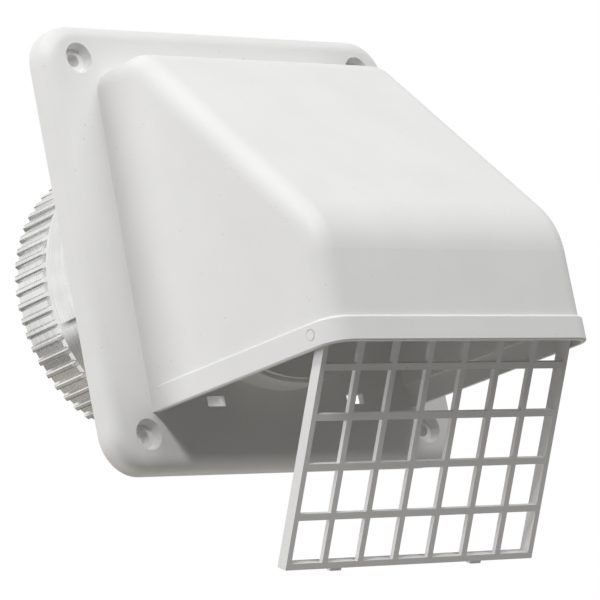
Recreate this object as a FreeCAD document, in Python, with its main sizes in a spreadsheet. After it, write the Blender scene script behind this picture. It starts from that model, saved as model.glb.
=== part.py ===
import FreeCAD, Part
import Sketcher
import math
import os
import re

# Dryer vent cap: a white moulded wall hood with a hinged pest guard in its mouth, a round
# damper flap inside and a crimped aluminium tail pipe behind.
# X runs across the wall, Y into the wall and Z up. The origin is on the duct axis, in the
# plane of the wall. All sizes are millimetres or degrees.

SIZES = {
    "flange_width": (156.0, "square wall flange, edge to edge"),
    "flange_depth": (9.2, "flange face stands this far off the wall"),
    "flange_corner": (14.0, "flange corners, seen from the front"),
    "flange_edge": (5.0, "rounding round the front of the flange"),
    "plate_wall": (2.4, "wall of the flange tray"),
    "screw_span_x": (127.2, "screw holes, left to right"),
    "screw_span_z": (131.4, "screw holes, top to bottom"),
    "screw_radius": (2.4, "screw hole"),
    "recess_radius": (5.4, "screw recess at the face"),
    "recess_floor_radius": (4.2, "screw recess at its floor"),
    "recess_depth": (3.2, "screw recess below the face"),
    "boss_radius": (7.4, "screw boss behind the face"),
    "hood_width": (116.2, "hood over its side walls"),
    "hood_reach": (100.0, "front of the hood off the wall"),
    "hood_wall": (2.2, "wall of the hood"),
    "hood_edge": (7.5, "rounding of the hood's side edges"),
    "shelf_height": (61.2, "level top of the hood above the duct axis"),
    "shelf_reach": (30.9, "corner of level top and roof, off the wall"),
    "shelf_bend": (13.0, "bend from the level top to the roof"),
    "roof_pitch": (49.0, "slope of the roof"),
    "front_bend": (28.0, "bend from the roof to the front"),
    "flare_width": (2.2, "flare of the hood's sides at the flange, outwards, at the mouth"),
    "flare_depth": (12.0, "flare of the hood's sides at the flange, forwards, at the mouth"),
    "flare_fade": (0.1, "share of the flare that is left at the hood's shoulder"),
    "mouth_level": (58.2, "mouth below the duct axis, at the flange"),
    "mouth_fall": (1.6, "how much lower the mouth is at the front"),
    "band_height": (8.5, "stepped band round the mouth"),
    "band_step": (1.2, "band stands this far off the hood"),
    "band_wall": (2.0, "wall of the band"),
    "band_upper_bevel": (0.7, "bevel along the band's upper edge"),
    "band_lower_bevel": (0.4, "bevel along the band's lower edge"),
    "band_ledge": (0.8, "ledge above the band, inside"),
    "pipe_radius": (50.0, "tail pipe, outside"),
    "pipe_wall": (0.5, "tail pipe sheet"),
    "pipe_reach": (62.7, "far end of the tail pipe, behind the wall plane"),
    "crimp_length": (18.0, "crimped end of the tail pipe"),
    "crimp_runout": (3.5, "length over which the crimps fade out"),
    "crimp_count": (60, "crimps round the pipe"),
    "crimp_depth": (1.2, "crimps below the pipe"),
    "crimp_step": (0.06, "crimped end sits this far inside the sheet's faces"),
    "ridge_share": (0.36, "share of a crimp's pitch that is ridge"),
    "flank_share": (0.12, "share of a crimp's pitch that is one flank"),
    "pipe_gap": (0.05, "spigot to tail pipe, radial"),
    "spigot_wall": (2.2, "spigot that carries the tail pipe"),
    "spigot_reach": (22.0, "spigot behind the wall plane"),
    "collar_radius": (51.5, "damper seat, outside"),
    "collar_reach": (10.0, "damper seat in front of the flange face"),
    "flap_wall": (1.6, "damper flap"),
    "flap_lap": (3.0, "flap lies this far over the seat"),
    "flap_gap": (0.3, "flap to its seat"),
    "tongue_share": (0.7, "share of the flap's radius at which its tongue starts"),
    "hinge_height": (54.8, "damper hinge above the duct axis"),
    "hinge_span": (52.0, "damper hinge barrel, end to end"),
    "barrel_radius": (2.3, "damper hinge barrel"),
    "hinge_radius": (1.5, "damper hinge stub"),
    "hinge_gap": (0.05, "hinge stub in its hole, radial"),
    "ear_wall": (3.0, "damper hinge ears"),
    "ear_radius": (3.6, "rounded end of the hinge ears"),
    "ear_gap": (0.4, "hinge barrel to ear"),
    "pivot_setback": (11.0, "guard pivot behind the band's front"),
    "pivot_rise": (4.7, "guard pivot above the mouth's front edge"),
    "pivot_radius": (1.65, "guard pivot stub"),
    "pivot_gap": (0.05, "pivot stub in its hole, radial"),
    "pivot_bevel": (0.35, "bevel round the pivot hole, outside"),
    "guard_gap": (1.5, "guard to the inside of the band"),
    "guard_proud": (3.4, "guard's face in front of its pivot"),
    "guard_tilt": (30.65, "guard as it hangs, off the vertical"),
    "frame_width": (2.1, "guard frame, seen from the front"),
    "frame_depth": (4.0, "guard frame, front to back"),
    "lug_radius": (2.4, "rounded frame end round the pivot"),
    "bar_width": (2.5, "guard bars across, at the back"),
    "bar_draft": (0.1, "guard bars are slimmer by this on each side at the face"),
    "bar_depth": (1.4, "guard bars, front to back"),
    "rail_inset": (0.7, "head rail inside the guard's sides"),
    "row_pitch": (16.65, "guard bars, one row to the next"),
    "column_count": (7, "openings across the guard"),
    "row_count": (5, "openings down the guard"),
    "tab_span": (63.4, "snap tabs, centre to centre"),
    "tab_width": (4.9, "snap tab across"),
    "tab_wall": (1.8, "snap tab, front to back"),
    "tab_reach": (1.6, "snap tab past the guard's edge"),
    "tab_level": (3.1, "snap tab's middle behind the guard's face"),
    "tab_gap": (2.0, "snap tab to the flange face when the guard is shut"),
    "slot_side_gap": (1.4, "snap tab to the end of its slot"),
    "slot_lift_gap": (0.9, "half of what the slot is higher than the snap tab"),
    "slot_rise": (0.6, "slot's middle above the snap tab's"),
}

# Room that a cutting tool takes past the faces it opens.
OVERCUT = 6.0
# Two lengths that differ by less than this are the same.
CLOSE = 1e-4

ALONG_X = FreeCAD.Rotation(FreeCAD.Vector(0, 1, 0), 90)
ALONG_MINUS_Y = FreeCAD.Rotation(FreeCAD.Vector(1, 0, 0), 90)

# Lengths that several pieces share, as expressions of the sizes.
PLATE_BACK = "-(flange_depth - plate_wall)"
ROOF_FOOT = "(shelf_height - (hood_reach - shelf_reach) * tan(roof_pitch * 1 deg))"
BAND_FRONT = "(hood_reach + band_step)"
BAND_WIDTH = "(hood_width + 2 * band_step)"
MOUTH_FRONT = "(mouth_level + mouth_fall)"
SPIGOT_RADIUS = "(pipe_radius - pipe_wall - pipe_gap)"
BORE_RADIUS = f"({SPIGOT_RADIUS} - spigot_wall)"
COLLAR_FRONT = "(flange_depth + collar_reach)"
FLAP_BACK = f"({COLLAR_FRONT} + flap_gap)"
FLAP_RADIUS = f"({BORE_RADIUS} + flap_lap)"
HINGE_Y = f"-({FLAP_BACK} + flap_wall / 2)"
EARS_HALF = "(hinge_span / 2 + ear_gap + ear_wall)"
PIVOT_Y = f"-({BAND_FRONT} - pivot_setback)"
PIVOT_Z = f"-({MOUTH_FRONT} - pivot_rise)"
GUARD_WIDTH = f"({BAND_WIDTH} - 2 * band_wall - 2 * guard_gap)"
GUARD_DROP = f"({BAND_FRONT} - pivot_setback - flange_depth - tab_gap - tab_reach)"
SLOT_Z = f"({PIVOT_Z} - guard_proud + tab_level + slot_rise)"

doc = FreeCAD.newDocument("dryer_vent_cap")
sheet = doc.addObject("Spreadsheet::Sheet", "sizes")
for row, (alias, (number, note)) in enumerate(SIZES.items(), 1):
    sheet.set(f"A{row}", note)
    sheet.set(f"B{row}", str(number))
    sheet.setAlias(f"B{row}", alias)
doc.recompute()


def bound(text):
    """The expression with each size's name pointing at its cell."""
    return re.sub(r"\b([a-z]+(?:_[a-z]+)+)\b", r"sizes.\1", text)


def value(text):
    """What an expression comes to, as a plain number."""
    return float(sheet.evalExpression(bound(text)))


def bind(item, **fields):
    """Tie properties of a document object to expressions; two underscores stand for a dot."""
    for field, text in fields.items():
        item.setExpression(field.replace("__", "."), bound(text))


def place(item, x="0", y="0", z="0"):
    """Tie an object's position to expressions."""
    bind(item, Placement__Base__x=x, Placement__Base__y=y, Placement__Base__z=z)


def box(name, x, y, z, length, width, height):
    """A block with its low corner at x, y, z."""
    item = doc.addObject("Part::Box", name)
    bind(item, Length=length, Width=width, Height=height)
    place(item, x, y, z)
    return item


def rod(name, rotation, x, y, z, radius, length):
    """A cylinder that starts at x, y, z and runs the way the rotation turns +Z."""
    item = doc.addObject("Part::Cylinder", name)
    item.Placement.Rotation = rotation
    bind(item, Radius=radius, Height=length)
    place(item, x, y, z)
    return item


def cone(name, rotation, x, y, z, first_radius, last_radius, length):
    """A cone that starts at x, y, z and runs the way the rotation turns +Z."""
    item = doc.addObject("Part::Cone", name)
    item.Placement.Rotation = rotation
    bind(item, Radius1=first_radius, Radius2=last_radius, Height=length)
    place(item, x, y, z)
    return item


def fuse(name, items):
    """One solid from several."""
    item = doc.addObject("Part::MultiFuse", name)
    item.Shapes = items
    item.Refine = True
    return item


def cut(name, base, tool):
    """What is left of the base without the tool."""
    item = doc.addObject("Part::Cut", name)
    item.Base = base
    item.Tool = tool
    item.Refine = True
    return item


def padded_outline(name, role, corners, length, symmetric):
    """A body whose closed outline, given by expressions, is padded off an origin plane."""
    body = doc.addObject("PartDesign::Body", name)
    sketch = body.newObject("Sketcher::SketchObject", name + "_outline")
    plane = next(item for item in body.Origin.OriginFeatures if item.Role == role)
    sketch.AttachmentSupport = [(plane, "")]
    sketch.MapMode = "FlatFace"
    spots = [FreeCAD.Vector(value(x), value(y), 0) for x, y in corners]
    count = len(spots)
    for i in range(count):
        sketch.addGeometry(Part.LineSegment(spots[i], spots[(i + 1) % count]), False)
    for i in range(count):
        sketch.addConstraint(Sketcher.Constraint("Coincident", i, 2, (i + 1) % count, 1))
    for i, corner in enumerate(corners):
        for kind, text in zip(("DistanceX", "DistanceY"), corner):
            rule = Sketcher.Constraint(kind, -1, 1, i, 1, value(text))
            sketch.setExpression(f"Constraints[{sketch.addConstraint(rule)}]", bound(text))
    pad = body.newObject("PartDesign::Pad", name + "_pad")
    pad.Profile = sketch
    if symmetric:
        pad.SideType = "Symmetric"
    bind(pad, Length=length)
    doc.recompute()
    return body


def dress_edges(body, kind, name, wanted):
    """A fillet or chamfer on the edges of a body's last feature that pass the test."""
    base = body.Tip
    edges = [f"Edge{i}" for i, edge in enumerate(base.Shape.Edges, 1) if wanted(edge)]
    feature = body.newObject(kind, name)
    feature.Base = (base, edges)
    return feature


def round_edges(body, name, radius, wanted):
    """Fillet the edges of a body that pass the test."""
    bind(dress_edges(body, "PartDesign::Fillet", name, wanted), Radius=radius)
    doc.recompute()


def bevel_edges(body, name, size, wanted):
    """Chamfer the edges of a body that pass the test."""
    bind(dress_edges(body, "PartDesign::Chamfer", name, wanted), Size=size)
    doc.recompute()


def ends(edge):
    """Both ends of an edge."""
    return [vertex.Point for vertex in edge.Vertexes]


def runs_along(edge, axis):
    """Whether an edge is straight along X, Y or Z (axis 0, 1 or 2)."""
    first, last = edge.firstVertex().Point, edge.lastVertex().Point
    others = [i for i in range(3) if i != axis]
    return first != last and all(abs(first[i] - last[i]) < CLOSE for i in others)


def lies_at(edge, axis, level):
    """Whether both ends of an edge have the same coordinate, the level."""
    return all(abs(point[axis] - level) < CLOSE for point in ends(edge))


def square_outline(half):
    """Corners of a square round the duct axis."""
    return [(f"-({half})", f"-({half})"), (half, f"-({half})"), (half, half), (f"-({half})", half)]


def make_flange():
    """The wall flange, a shallow tray with its open side to the wall."""
    half = "flange_width / 2"
    skin = padded_outline("flange_skin", "XZ_Plane", square_outline(half), "flange_depth", False)
    round_edges(skin, "flange_corners", "flange_corner", lambda edge: runs_along(edge, 1))
    front = -value("flange_depth")
    round_edges(skin, "flange_front", "flange_edge", lambda edge: lies_at(edge, 1, front))
    inner = "flange_width / 2 - plate_wall"
    depth = "flange_depth - plate_wall"
    tray = padded_outline("tray_room", "XZ_Plane", square_outline(inner), depth, False)
    round_edges(tray, "tray_corners", "flange_corner - plate_wall", lambda edge: runs_along(edge, 1))
    floor = -value(depth)
    bevel_edges(tray, "tray_floor", "flange_edge - plate_wall", lambda edge: lies_at(edge, 1, floor))
    return cut("flange_tray", skin, tray)


def make_hood_form(name, back, inset, bottom_back, bottom_front):
    """The hood's outside, or with an inset of one wall the space inside it."""
    front = f"-(hood_reach - {inset})"
    top = f"(shelf_height - {inset})"
    shelf_end = f"-(shelf_reach - {inset} * tan(roof_pitch * 0.5 deg))"
    roof_end = f"({ROOF_FOOT} - {inset} * tan((90 - roof_pitch) * 0.5 deg))"
    corners = [
        (back, top),
        (shelf_end, top),
        (front, roof_end),
        (front, bottom_front),
        (back, bottom_back),
    ]
    width = f"hood_width - 2 * {inset}"
    form = padded_outline(name, "YZ_Plane", corners, width, True)
    high = value(top)
    shelf_y = value(shelf_end)
    front_y = value(front)
    roof_z = value(roof_end)
    side = value(width) / 2
    back_y = value(back)

    def at_shelf_end(edge):
        return runs_along(edge, 0) and lies_at(edge, 1, shelf_y) and lies_at(edge, 2, high)

    def at_roof_end(edge):
        return runs_along(edge, 0) and lies_at(edge, 1, front_y) and lies_at(edge, 2, roof_z)

    def on_side_edge(edge):
        on_side = lies_at(edge, 0, side) or lies_at(edge, 0, -side)
        at_back = lies_at(edge, 1, back_y)
        at_bottom = all(point.z <= value(bottom_back) + CLOSE for point in ends(edge))
        return on_side and not at_back and not at_bottom

    round_edges(form, name + "_shelf_bend", f"shelf_bend - {inset}", at_shelf_end)
    round_edges(form, name + "_front_bend", f"front_bend - {inset}", at_roof_end)
    round_edges(form, name + "_side_edges", f"hood_edge - {inset}", on_side_edge)
    return form


def make_band_form(name, back, inset, top_drop, bottom_drop):
    """The stepped band round the mouth, or with an inset of one wall the space inside it."""
    front = f"-({BAND_FRONT} - {inset})"
    corners = [
        (back, f"-mouth_level + band_height - {top_drop}"),
        (front, f"-{MOUTH_FRONT} + band_height - {top_drop}"),
        (front, f"-{MOUTH_FRONT} - {bottom_drop}"),
        (back, f"-mouth_level - {bottom_drop}"),
    ]
    form = padded_outline(name, "YZ_Plane", corners, f"{BAND_WIDTH} - 2 * {inset}", True)
    front_y = value(front)
    round_edges(
        form,
        name + "_corners",
        f"hood_edge + band_step - {inset}",
        lambda edge: runs_along(edge, 2) and lies_at(edge, 1, front_y),
    )
    return form


def make_band_skin():
    """The outside of the band with its upper and lower edges bevelled."""
    band = make_band_form("band_skin", PLATE_BACK, "0", "0", "0")
    back_y = value(PLATE_BACK)
    middle = value(f"(band_height - mouth_level - {MOUTH_FRONT}) / 2")

    def on_upper_edge(edge):
        return not lies_at(edge, 1, back_y) and all(point.z > middle for point in ends(edge))

    def on_lower_edge(edge):
        return not lies_at(edge, 1, back_y) and all(point.z < middle for point in ends(edge))

    bevel_edges(band, "band_upper_edge", "band_upper_bevel", on_upper_edge)
    bevel_edges(band, "band_lower_edge", "band_lower_bevel", on_lower_edge)
    return band


def flare_outline(side, z, share):
    """The flare at one height: a hollow arc that leaves the side wall and ends at the flange face."""
    wall = value("hood_width / 2")
    inside = wall - value("hood_wall / 2")
    face = -value("flange_depth")
    behind = value(f"{PLATE_BACK} - plate_wall / 2")
    width = share * value("flare_width")
    depth = share * value("flare_depth")
    radius = (width**2 + depth**2) / (2 * width)
    half_sweep = math.asin(depth / radius) / 2

    def spot(x, y):
        return FreeCAD.Vector(side * x, y, z)

    start = spot(wall + width, face)
    middle = spot(wall + radius * (1 - math.cos(half_sweep)), face - depth + radius * math.sin(half_sweep))
    end = spot(wall, face - depth)
    rest = [end, spot(inside, face - depth), spot(inside, behind), spot(wall + width, behind), start]
    lines = [Part.makeLine(first, last) for first, last in zip(rest, rest[1:])]
    return Part.Wire([Part.Arc(start, middle, end).toShape()] + lines)


def make_flares():
    """The flare along the foot of each side wall, which fades out towards the hood's shoulder."""
    flares = []
    mouth = -value("mouth_level")
    shoulder = value("shelf_height - hood_edge")
    for name, side in (("left", -1), ("right", 1)):
        outlines = [flare_outline(side, mouth, 1), flare_outline(side, shoulder, value("flare_fade"))]
        flare = doc.addObject("Part::Feature", f"flare_{name}")
        flare.Shape = Part.makeLoft(outlines, True, True)
        flares.append(flare)
    return flares


def make_hood_shell():
    """Flange, hood and band as one thin-walled moulding."""
    face = "-flange_depth"
    below = f"-{MOUTH_FRONT} - {OVERCUT}"
    skins = [
        make_flange(),
        make_hood_form("hood_skin", PLATE_BACK, "0", "-mouth_level", f"-{MOUTH_FRONT}"),
        make_band_skin(),
    ]
    skins += make_flares()
    rooms = [
        make_hood_form("hood_room", face, "hood_wall", below, below),
        make_band_form("band_room", face, "band_wall", "band_ledge", str(OVERCUT)),
    ]
    return cut("hood_shell", fuse("shell_skins", skins), fuse("shell_rooms", rooms))


def make_screw_places():
    """A solid boss behind each screw hole, and the recess and hole that go into it."""
    bosses = []
    holes = []
    way = ALONG_MINUS_Y
    behind = str(OVERCUT)
    boss_length = "flange_depth - plate_wall / 2"
    hole_length = f"flange_depth + 2 * {OVERCUT}"
    recess_y = "recess_depth - flange_depth"
    recess = ("recess_floor_radius", "recess_radius", "recess_depth")
    for i, (across, up) in enumerate([(-1, -1), (1, -1), (1, 1), (-1, 1)], 1):
        x = f"{across} * screw_span_x / 2"
        z = f"{up} * screw_span_z / 2"
        bosses.append(rod(f"screw_boss_{i}", way, x, "0", z, "boss_radius", boss_length))
        holes.append(rod(f"screw_hole_{i}", way, x, behind, z, "screw_radius", hole_length))
        holes.append(cone(f"screw_recess_{i}", way, x, recess_y, z, *recess))
    return bosses, holes


def make_sleeve():
    """The damper seat in front of the flange face, the spigot behind it, and their bore."""
    seat_start = PLATE_BACK
    seat_length = f"{COLLAR_FRONT} - flange_depth + plate_wall"
    seat = rod("damper_seat", ALONG_MINUS_Y, "0", seat_start, "0", "collar_radius", seat_length)
    spigot_length = "spigot_reach + flange_depth - plate_wall / 2"
    spigot = rod("spigot", ALONG_MINUS_Y, "0", "spigot_reach", "0", SPIGOT_RADIUS, spigot_length)
    bore_length = f"spigot_reach + {COLLAR_FRONT} + 2 * {OVERCUT}"
    bore_start = f"spigot_reach + {OVERCUT}"
    bore = rod("duct_bore", ALONG_MINUS_Y, "0", bore_start, "0", BORE_RADIUS, bore_length)
    return seat, spigot, bore


def hinge_rod(name, half_length, radius):
    """A cylinder on the damper hinge, the same length to both sides."""
    return rod(name, ALONG_X, f"-{half_length}", HINGE_Y, "hinge_height", radius, f"2 * {half_length}")


def make_hinge_ears():
    """Two ears on the flange face that carry the damper flap, and the hole through both."""
    ears = []
    arm_length = f"-({HINGE_Y}) + ({PLATE_BACK})"
    low = "hinge_height - ear_radius"
    for name, x in (("left", f"-{EARS_HALF}"), ("right", "hinge_span / 2 + ear_gap")):
        ears.append(box(f"ear_arm_{name}", x, HINGE_Y, low, "ear_wall", arm_length, "2 * ear_radius"))
        ears.append(rod(f"ear_end_{name}", ALONG_X, x, HINGE_Y, "hinge_height", "ear_radius", "ear_wall"))
    hole = hinge_rod("ear_hole", EARS_HALF, "hinge_radius + hinge_gap")
    return ears, hole


def make_tab_slots():
    """The two slots in the flange that the guard's snap tabs go into."""
    slots = []
    width = "(tab_width + 2 * slot_side_gap)"
    height = "(tab_wall + 2 * slot_lift_gap)"
    low_y = f"-flange_depth - {OVERCUT} / 2"
    low_z = f"{SLOT_Z} - {height} / 2"
    depth = f"plate_wall + {OVERCUT}"
    for name, side in (("left", -1), ("right", 1)):
        low_x = f"{side} * tab_span / 2 - {width} / 2"
        slots.append(box(f"tab_slot_{name}", low_x, low_y, low_z, width, depth, height))
    return slots


def make_pivot_holes():
    """The holes for the guard's pivot stubs, bevelled at the outside of the band."""
    start = f"-{BAND_WIDTH} / 2"
    right = f"{BAND_WIDTH} / 2 - pivot_bevel"
    fit = "pivot_radius + pivot_gap"
    wide = f"{fit} + pivot_bevel"
    y, z = PIVOT_Y, PIVOT_Z
    return [
        rod("pivot_hole", ALONG_X, start, y, z, fit, BAND_WIDTH),
        cone("pivot_bevel_left", ALONG_X, start, y, z, wide, fit, "pivot_bevel"),
        cone("pivot_bevel_right", ALONG_X, right, y, z, fit, wide, "pivot_bevel"),
    ]


def make_hood_body():
    """The whole hood moulding."""
    bosses, holes = make_screw_places()
    seat, spigot, bore = make_sleeve()
    ears, ear_hole = make_hinge_ears()
    solids = fuse("hood_solids", [make_hood_shell(), seat, spigot] + bosses + ears)
    openings = fuse("hood_openings", [bore, ear_hole] + make_pivot_holes() + holes + make_tab_slots())
    return cut("hood_body", solids, openings)


def make_damper_flap():
    """The round flap with its tongue, hinge barrel and two hinge stubs."""
    front = f"-({FLAP_BACK})"
    disc = rod("flap_disc", ALONG_MINUS_Y, "0", front, "0", FLAP_RADIUS, "flap_wall")
    tongue_low = f"({FLAP_RADIUS} * tongue_share)"
    tongue = box(
        "flap_tongue",
        "-hinge_span / 2",
        f"-({FLAP_BACK} + flap_wall)",
        tongue_low,
        "hinge_span",
        "flap_wall",
        f"hinge_height - {tongue_low}",
    )
    barrel = hinge_rod("flap_barrel", "(hinge_span / 2)", "barrel_radius")
    stubs = hinge_rod("flap_stubs", EARS_HALF, "hinge_radius")
    return fuse("damper_flap", [disc, tongue, barrel, stubs])


def guard_bar(name, x, z, length, height, draft_x, draft_z):
    """A bar from the guard's face backwards, slimmer at the face by the drafts on each side."""
    item = doc.addObject("Part::Wedge", name)
    bind(item, Xmin=draft_x, Xmax=f"{length} - {draft_x}", X2min="0", X2max=length)
    bind(item, Zmin=draft_z, Zmax=f"{height} - {draft_z}", Z2min="0", Z2max=height)
    bind(item, Ymin="0", Ymax="bar_depth")
    place(item, x, "-guard_proud", z)
    return item


def make_pest_guard():
    """The square mesh on its frame, built about its pivot with its face to -Y, then hung."""
    face = "-guard_proud"
    half = f"({GUARD_WIDTH} / 2)"
    low = f"-{GUARD_DROP}"
    pieces = []
    for name, x in (("left", f"-{half}"), ("right", f"{half} - frame_width")):
        pieces.append(box(f"frame_{name}", x, face, low, "frame_width", "frame_depth", GUARD_DROP))
        pieces.append(rod(f"lug_{name}", ALONG_X, x, "0", "0", "lug_radius", "frame_width"))
    pieces.append(box("frame_foot", f"-{half}", face, low, GUARD_WIDTH, "frame_depth", "frame_width"))
    rail_width = f"{GUARD_WIDTH} - 2 * rail_inset"
    pieces.append(box("head_rail", f"-{half} + rail_inset", face, "0", rail_width, "bar_depth", "bar_width"))
    upright_height = f"({GUARD_DROP} + bar_width)"
    column = f"(({GUARD_WIDTH} - frame_width) / column_count)"
    for i in range(1, int(value("column_count"))):
        x = f"-{half} + frame_width / 2 + {i} * {column} - bar_width / 2"
        pieces.append(guard_bar(f"upright_{i}", x, low, "bar_width", upright_height, "bar_draft", "0"))
    for i in range(1, int(value("row_count"))):
        z = f"-{GUARD_DROP} + frame_width / 2 + {i} * row_pitch - bar_width / 2"
        pieces.append(guard_bar(f"crossbar_{i}", f"-{half}", z, GUARD_WIDTH, "bar_width", "0", "bar_draft"))
    for name, side in (("left", -1), ("right", 1)):
        x = f"{side} * tab_span / 2 - tab_width / 2"
        y = "-guard_proud + tab_level - tab_wall / 2"
        z = f"-{GUARD_DROP} - tab_reach"
        height = "tab_reach + frame_width"
        pieces.append(box(f"tab_{name}", x, y, z, "tab_width", "tab_wall", height))
    stub_half = f"({BAND_WIDTH} / 2)"
    stub_length = f"({stub_half} - {half} + frame_width)"
    pieces.append(rod("pivot_left", ALONG_X, f"-{stub_half}", "0", "0", "pivot_radius", stub_length))
    right = f"{stub_half} - {stub_length}"
    pieces.append(rod("pivot_right", ALONG_X, right, "0", "0", "pivot_radius", stub_length))
    guard = fuse("pest_guard", pieces)
    guard.Placement.Rotation = FreeCAD.Rotation(FreeCAD.Vector(1, 0, 0), value("guard_tilt"))
    place(guard, "0", PIVOT_Y, PIVOT_Z)
    return guard


def crimp_ring(radius, depth, y):
    """Four corners for each crimp round the pipe: both ends of its ridge, then of its groove."""
    count = int(value("crimp_count"))
    ridge = value("ridge_share")
    flank = value("flank_share")
    steps = [(0, 0), (ridge, 0), (ridge + flank, depth), (1 - flank, depth)]
    crimps = []
    for i in range(count):
        corners = []
        for share, drop in steps:
            angle = 2 * math.pi * (i + share) / count
            reach = radius - drop
            corners.append(FreeCAD.Vector(reach * math.cos(angle), y, reach * math.sin(angle)))
        crimps.append(corners)
    return crimps


def flat_face(corners):
    """A flat face inside a closed run of corners."""
    return Part.Face(Part.makePolygon(corners + corners[:1]))


def make_runout(radius, depth, start, end):
    """The solid stretch in which the grooves sink from the round pipe to their full depth."""
    plain = [corners[:2] for corners in crimp_ring(radius, 0, start)]
    deep = crimp_ring(radius, depth, end)
    faces = [flat_face(sum(plain, [])), flat_face(sum(deep, []))]
    for i, (ridge_start, ridge_end, groove_start, groove_end) in enumerate(deep):
        near_start, near_end = plain[i]
        after = (i + 1) % len(deep)
        faces.append(flat_face([near_start, near_end, ridge_end, ridge_start]))
        faces.append(flat_face([near_end, groove_start, ridge_end]))
        faces.append(flat_face([near_end, plain[after][0], groove_end, groove_start]))
        faces.append(flat_face([plain[after][0], deep[after][0], groove_end]))
    shell = Part.makeShell(faces)
    shell.sewShape()
    return Part.makeSolid(shell)


def make_tail_pipe():
    """The sheet pipe on the spigot: a plain run, then crimps that deepen to the open end."""
    start = value(PLATE_BACK)
    end = value("pipe_reach")
    crimp_start = end - value("crimp_length")
    full_depth = crimp_start + value("crimp_runout")
    outer = value("pipe_radius")
    inner = outer - value("pipe_wall")
    step = value("crimp_step")
    into_wall = FreeCAD.Vector(0, 1, 0)
    at_start = FreeCAD.Vector(0, start, 0)
    plain = Part.makeCylinder(outer, crimp_start - start, at_start, into_wall)
    plain = plain.cut(Part.makeCylinder(inner, crimp_start - start, at_start, into_wall))
    depth = value("crimp_depth")
    runouts = []
    faces = []
    for radius in (outer - step, inner + step):
        runouts.append(make_runout(radius, depth, crimp_start, full_depth))
        faces.append(flat_face(sum(crimp_ring(radius, depth, full_depth), [])))
    runout = runouts[0].cut(runouts[1])
    crimps = faces[0].cut(faces[1]).extrude(into_wall * (end - full_depth))
    pipe = doc.addObject("Part::Feature", "tail_pipe")
    pipe.Shape = plain.fuse([runout, crimps]).removeSplitter()
    return pipe


parts = [make_hood_body(), make_tail_pipe(), make_damper_flap(), make_pest_guard()]
doc.recompute()

for item in doc.Objects:
    if "Invalid" in item.State or "Error" in item.State:
        raise RuntimeError(f"{item.Label} could not be built: {item.State}")
for part in parts:
    if part.Shape.isNull() or not part.Shape.isValid() or len(part.Shape.Solids) != 1:
        raise RuntimeError(f"{part.Label} is not one valid solid")

os.makedirs("parts", exist_ok=True)
for part in parts:
    part.Shape.exportStep(f"parts/{part.Label}.step")
    print(part.Label, round(part.Shape.Volume / 1000, 2), "cubic centimetres")
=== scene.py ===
import math

import bpy
from mathutils import Matrix, Vector

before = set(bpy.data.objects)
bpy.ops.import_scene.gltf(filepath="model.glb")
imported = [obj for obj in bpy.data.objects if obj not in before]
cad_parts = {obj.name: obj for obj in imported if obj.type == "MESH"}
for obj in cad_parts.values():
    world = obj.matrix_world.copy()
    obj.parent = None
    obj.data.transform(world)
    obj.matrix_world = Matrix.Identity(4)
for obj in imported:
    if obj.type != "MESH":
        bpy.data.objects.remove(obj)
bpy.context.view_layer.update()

# Camera: left of and below the object, turned a little on its axis. Metres and degrees.
CAMERA_AIM = Vector((0.01546, -0.00877, -0.01910))
CAMERA_DISTANCE = 1.5195
CAMERA_HEADING = 43.117
CAMERA_CLIMB = 12.288
CAMERA_ROLL = -11.075
CAMERA_LENS = 264.36
SENSOR_WIDTH = 36.0

# Stage and even light. The floor lies well below the object and reaches further behind it.
FLOOR_PLACE = (-0.9, 1.3, -0.9)
FLOOR_SIZE = 5.0
FLOOR_FADE = 1.7
FLOOR_COLOUR = (0.74, 0.71, 0.65, 1)
FLOOR_ROUGHNESS = 0.8
SKY = (1, 1, 1, 1)
SKY_LIGHT = 0.085
LAMP_AIM = Vector((0, -0.05, 0))

# White moulded plastic: linear colour, gloss, and the patterns in it as noise cells per metre,
# with the noise values between which each pattern comes in.
WHITE_PLASTIC = (0.80, 0.798, 0.793)
HOOD_ROUGHNESS = 0.50
INSERT_ROUGHNESS = 0.52
PLASTIC_IOR = 1.49
CLOUD_SCALE = 38
CLOUD_SHADE = 0.965
CLOUD_RANGE = (0.32, 0.68)
SPECK_SCALE = 800
SPECK_SHADE = 0.80
SPECK_RANGE = (0.77, 0.80)
GLOSS_SCALE = 90
GLOSS_BELOW = 0.04
GLOSS_ABOVE = 0.06
GRAIN_SCALE = 1600
GRAIN_DEPTH = 0.00012

# Aluminium sheet: linear colour, gloss, dull patches, and rolling lines that run round the pipe.
ALUMINIUM = (0.90, 0.898, 0.89)
SHEET_ROUGHNESS = (0.18, 0.36)
PATCH_SCALE = 60
PATCH_SHADE = 0.80
PATCH_RANGE = (0.3, 0.7)
ROLLING_SCALE = 140
ROLLING_STRETCH = (0.3, 14, 0.3)
ROLLING_SHADE = 0.86
ROLLING_RANGE = (0.45, 0.70)
ROLLING_DEPTH = 0.0001

# Crimps of the tail pipe: where they start, the length over which they rise, how many there are,
# the ridge's share of each, and the height of the rounding that the material gives a ridge.
CRIMP_START = 0.0447
CRIMP_RISE = 0.0035
CRIMP_COUNT = 60
RIDGE_SHARE = 0.36
RIDGE_ROUNDING = 0.0006

# Lap seam on the left side of the pipe, with a painted shadow below it: its height, the width of its
# crisp upper edge and of the soft painted shadow below, the length over which it fades before the
# crimps, and the shade of line and shadow.
SEAM_LEVEL = -0.0128
SEAM_EDGE = 0.0006
SEAM_SHADOW_FADE = 0.0020
SEAM_END = 0.006
SEAM_AND_SHADOW_SHADE = 0.15


def new_material(name):
    """An empty node material: its node tree and its shader."""
    material = bpy.data.materials.new(name)
    material.use_nodes = True
    tree = material.node_tree
    shader = tree.nodes["Principled BSDF"]
    return material, tree, shader


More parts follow.
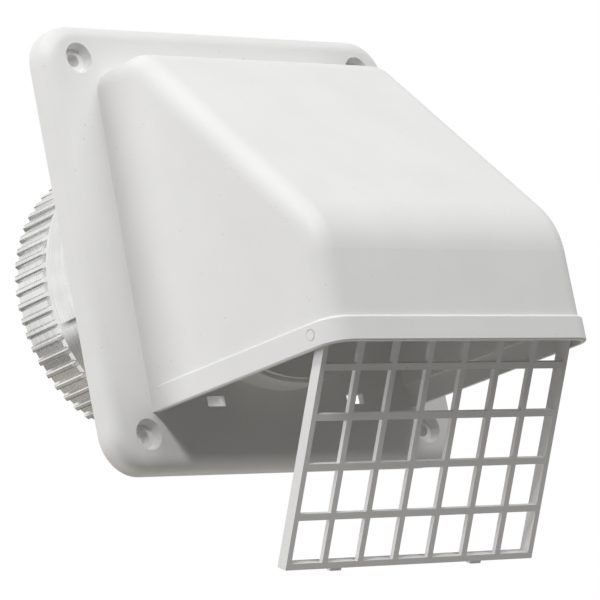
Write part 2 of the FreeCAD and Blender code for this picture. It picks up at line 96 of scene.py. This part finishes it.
def add(tree, kind, **values):
    """A node with some of its inputs or properties set."""
    node = tree.nodes.new(kind)
    for key, setting in values.items():
        if key in node.inputs:
            node.inputs[key].default_value = setting
        else:
            setattr(node, key, setting)
    return node


def maths(tree, operation, first, second=0.0):
    """One sum on two values, each a socket or a plain number."""
    node = add(tree, "ShaderNodeMath", operation=operation)
    for socket, source in zip(node.inputs, (first, second)):
        if isinstance(source, (int, float)):
            socket.default_value = source
        else:
            tree.links.new(source, socket)
    return node.outputs["Value"]


def object_place(tree):
    """The point's X, Y and Z in the object's own metres."""
    place = add(tree, "ShaderNodeTexCoord")
    split = add(tree, "ShaderNodeSeparateXYZ")
    tree.links.new(place.outputs["Object"], split.inputs["Vector"])
    return split.outputs["X"], split.outputs["Y"], split.outputs["Z"]


def object_noise(tree, scale, detail, stretch=(1, 1, 1)):
    """Noise in the object's own metres, finer along an axis with a larger stretch."""
    place = add(tree, "ShaderNodeTexCoord")
    mapping = add(tree, "ShaderNodeMapping")
    mapping.inputs["Scale"].default_value = stretch
    noise = add(tree, "ShaderNodeTexNoise", Scale=scale, Detail=detail)
    tree.links.new(place.outputs["Object"], mapping.inputs["Vector"])
    tree.links.new(mapping.outputs["Vector"], noise.inputs["Vector"])
    return noise.outputs["Fac"]


def spread(tree, source, low, high):
    """The value, which runs from 0 to 1, stretched to run from low to high."""
    node = add(tree, "ShaderNodeMapRange")
    node.inputs["To Min"].default_value = low
    node.inputs["To Max"].default_value = high
    tree.links.new(source, node.inputs["Value"])
    return node.outputs["Result"]


def stepped(tree, source, start, end):
    """0 at the start value, rising to 1 at the end value, which may be the lower of the two."""
    node = add(tree, "ShaderNodeMapRange")
    node.inputs["From Min"].default_value = start
    node.inputs["From Max"].default_value = end
    tree.links.new(source, node.inputs["Value"])
    return node.outputs["Result"]


def blotched(tree, colour, shade, noise, stops):
    """The colour, going down to a shade of itself where the noise is low."""
    node = add(tree, "ShaderNodeValToRGB")
    tones = (tuple(channel * shade for channel in colour), colour)
    for element, stop, tone in zip(node.color_ramp.elements, stops, tones):
        element.position = stop
        element.color = (*tone, 1)
    tree.links.new(noise, node.inputs["Fac"])
    return node.outputs["Color"]


def tinted(tree, colour, mask, shade):
    """The colour, brought down to a shade of itself where the mask is 1."""
    mix = add(tree, "ShaderNodeMix", data_type="RGBA", blend_type="MULTIPLY")
    tree.links.new(mask, mix.inputs["Factor"])
    # Inputs 6 and 7 and output 2 are the mix node's colour sockets.
    tree.links.new(colour, mix.inputs[6])
    mix.inputs[7].default_value = (shade, shade, shade, 1)
    return mix.outputs[2]


def moulded_plastic(name, colour, roughness):
    """Satin white moulding: cloudy tone, a few dust specks, uneven gloss and a fine grain."""
    material, tree, shader = new_material(name)
    clouds = blotched(tree, colour, CLOUD_SHADE, object_noise(tree, CLOUD_SCALE, 4), CLOUD_RANGE)
    specks = stepped(tree, object_noise(tree, SPECK_SCALE, 1), *SPECK_RANGE)
    tree.links.new(tinted(tree, clouds, specks, SPECK_SHADE), shader.inputs["Base Color"])
    uneven = object_noise(tree, GLOSS_SCALE, 3)
    gloss = spread(tree, uneven, roughness - GLOSS_BELOW, roughness + GLOSS_ABOVE)
    tree.links.new(gloss, shader.inputs["Roughness"])
    shader.inputs["IOR"].default_value = PLASTIC_IOR
    grain = add(tree, "ShaderNodeBump", Strength=0.12, Distance=GRAIN_DEPTH)
    tree.links.new(object_noise(tree, GRAIN_SCALE, 2), grain.inputs["Height"])
    tree.links.new(grain.outputs["Normal"], shader.inputs["Normal"])
    return material


def lap_seam_and_shadow(tree):
    """1 on the lap line along the left side of the pipe, fading out over the painted shadow below
    it, 0 elsewhere.
    """
    x, y, z = object_place(tree)
    upper = stepped(tree, z, SEAM_LEVEL + SEAM_EDGE, SEAM_LEVEL)
    # The soft fall-off below the lap line is a painted shadow under the lap.
    lower = stepped(tree, z, SEAM_LEVEL - SEAM_SHADOW_FADE, SEAM_LEVEL)
    plain = stepped(tree, y, CRIMP_START, CRIMP_START - SEAM_END)
    line = maths(tree, "MULTIPLY", upper, lower)
    left = maths(tree, "LESS_THAN", x, 0)
    return maths(tree, "MULTIPLY", line, maths(tree, "MULTIPLY", plain, left))


def crimp_height(tree):
    """Rounded ridges of the crimped end: 1 along their crowns, 0 in the grooves."""
    x, y, z = object_place(tree)
    turns = maths(tree, "MULTIPLY", maths(tree, "ARCTAN2", z, x), CRIMP_COUNT / math.tau)
    # Each crimp runs from 0 to 1 with its ridge in the middle.
    share = maths(tree, "FRACT", maths(tree, "ADD", turns, 0.5 - RIDGE_SHARE / 2))
    off_crown = maths(tree, "ABSOLUTE", maths(tree, "SUBTRACT", share, 0.5))
    # The rounding starts just outside the ridge's walls and leaves a third of its top flat.
    crown = stepped(tree, off_crown, RIDGE_SHARE * 0.6, RIDGE_SHARE / 6)
    rounded = maths(tree, "SINE", maths(tree, "MULTIPLY", crown, math.pi / 2))
    risen = stepped(tree, y, CRIMP_START, CRIMP_START + CRIMP_RISE)
    return maths(tree, "MULTIPLY", rounded, risen)


def rolled_aluminium(name):
    """Bright sheet with rounded crimps, rolling lines, dull patches, and a lap seam with a painted
    shadow below it.
    """
    material, tree, shader = new_material(name)
    shader.inputs["Metallic"].default_value = 1
    patches = blotched(tree, ALUMINIUM, PATCH_SHADE, object_noise(tree, PATCH_SCALE, 5), PATCH_RANGE)
    lines = object_noise(tree, ROLLING_SCALE, 4, ROLLING_STRETCH)
    rolled = tinted(tree, patches, stepped(tree, lines, *ROLLING_RANGE), ROLLING_SHADE)
    # The lap seam mask darkens the colour: a dark joint line plus a painted shadow under the lap.
    tree.links.new(tinted(tree, rolled, lap_seam_and_shadow(tree), SEAM_AND_SHADOW_SHADE), shader.inputs["Base Color"])
    tree.links.new(spread(tree, lines, *SHEET_ROUGHNESS), shader.inputs["Roughness"])
    crimps = add(tree, "ShaderNodeBump", Strength=1.0, Distance=RIDGE_ROUNDING)
    tree.links.new(crimp_height(tree), crimps.inputs["Height"])
    rolling = add(tree, "ShaderNodeBump", Strength=0.2, Distance=ROLLING_DEPTH)
    tree.links.new(lines, rolling.inputs["Height"])
    tree.links.new(crimps.outputs["Normal"], rolling.inputs["Normal"])
    tree.links.new(rolling.outputs["Normal"], shader.inputs["Normal"])
    return material


def dress(node, material):
    """Give a CAD node its material."""
    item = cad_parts[node]
    for slot in item.material_slots:
        slot.material = material


def make_camera():
    """The camera at the photograph's view."""
    heading = math.radians(CAMERA_HEADING)
    climb = math.radians(CAMERA_CLIMB)
    ahead = Vector((
        math.sin(heading) * math.cos(climb),
        math.cos(heading) * math.cos(climb),
        math.sin(climb),
    ))
    right = ahead.cross(Vector((0, 0, 1))).normalized()
    up = right.cross(ahead)
    turn = Matrix((right, up, -ahead)).transposed().to_4x4()
    roll = Matrix.Rotation(math.radians(CAMERA_ROLL), 4, "Z")
    data = bpy.data.cameras.new("camera")
    data.lens = CAMERA_LENS
    data.sensor_width = SENSOR_WIDTH
    camera = bpy.data.objects.new("camera", data)
    camera.matrix_world = Matrix.Translation(CAMERA_AIM - CAMERA_DISTANCE * ahead) @ turn @ roll
    bpy.context.scene.collection.objects.link(camera)
    bpy.context.scene.camera = camera


def make_lamp(name, place, size, power, mirrored=True):
    """A square soft light that faces the hood; shiny surfaces may be kept from showing it."""
    data = bpy.data.lights.new(name, "AREA")
    data.size = size
    data.energy = power
    lamp = bpy.data.objects.new(name, data)
    lamp.location = place
    lamp.rotation_euler = (LAMP_AIM - Vector(place)).to_track_quat("-Z", "Y").to_euler()
    lamp.visible_glossy = mirrored
    bpy.context.scene.collection.objects.link(lamp)


def make_world():
    """A weak even light; the camera and the shiny surfaces see plain white."""
    world = bpy.data.worlds.new("studio")
    world.use_nodes = True
    bpy.context.scene.world = world
    tree = world.node_tree
    path = add(tree, "ShaderNodeLightPath")
    seen = path.outputs["Is Camera Ray"]
    for kind in ("Is Glossy Ray", "Is Transmission Ray"):
        seen = maths(tree, "MAXIMUM", seen, path.outputs[kind])
    sky = tree.nodes["Background"]
    sky.inputs["Color"].default_value = SKY
    tree.links.new(spread(tree, seen, SKY_LIGHT, 1), sky.inputs["Strength"])


def make_floor():
    """A pale floor well below the object, open from underneath and fading out far away."""
    mesh = bpy.data.meshes.new("floor")
    half = FLOOR_SIZE / 2
    corners = [(-half, -half, 0), (half, -half, 0), (half, half, 0), (-half, half, 0)]
    mesh.from_pydata(corners, [], [(0, 1, 2, 3)])
    floor = bpy.data.objects.new("floor", mesh)
    floor.location = FLOOR_PLACE
    bpy.context.scene.collection.objects.link(floor)
    material, tree, shader = new_material("floor")
    shader.inputs["Base Color"].default_value = FLOOR_COLOUR
    shader.inputs["Roughness"].default_value = FLOOR_ROUGHNESS
    place = add(tree, "ShaderNodeTexCoord")
    reach = add(tree, "ShaderNodeVectorMath", operation="LENGTH")
    tree.links.new(place.outputs["Object"], reach.inputs[0])
    far = stepped(tree, reach.outputs["Value"], FLOOR_FADE, half)
    face = add(tree, "ShaderNodeNewGeometry")
    clear = maths(tree, "MAXIMUM", far, face.outputs["Backfacing"])
    tree.links.new(maths(tree, "SUBTRACT", 1.0, clear), shader.inputs["Alpha"])
    mesh.materials.append(material)


bpy.context.scene.view_settings.view_transform = "Standard"
make_camera()
make_world()
make_floor()
make_lamp("side", place=(-1.5, 0.7, 0.5), size=1.4, power=20.4, mirrored=False)
make_lamp("key", place=(-0.73, -0.95, 0.95), size=0.25, power=10.4)
make_lamp("front", place=(0.3, -1.2, 1.2), size=0.9, power=14.4)

dress("hood_body", moulded_plastic("hood_plastic", WHITE_PLASTIC, HOOD_ROUGHNESS))
dress("pest_guard", moulded_plastic("guard_plastic", WHITE_PLASTIC, INSERT_ROUGHNESS))
dress("damper_flap", moulded_plastic("flap_plastic", WHITE_PLASTIC, INSERT_ROUGHNESS))
dress("tail_pipe", rolled_aluminium("pipe_aluminium"))
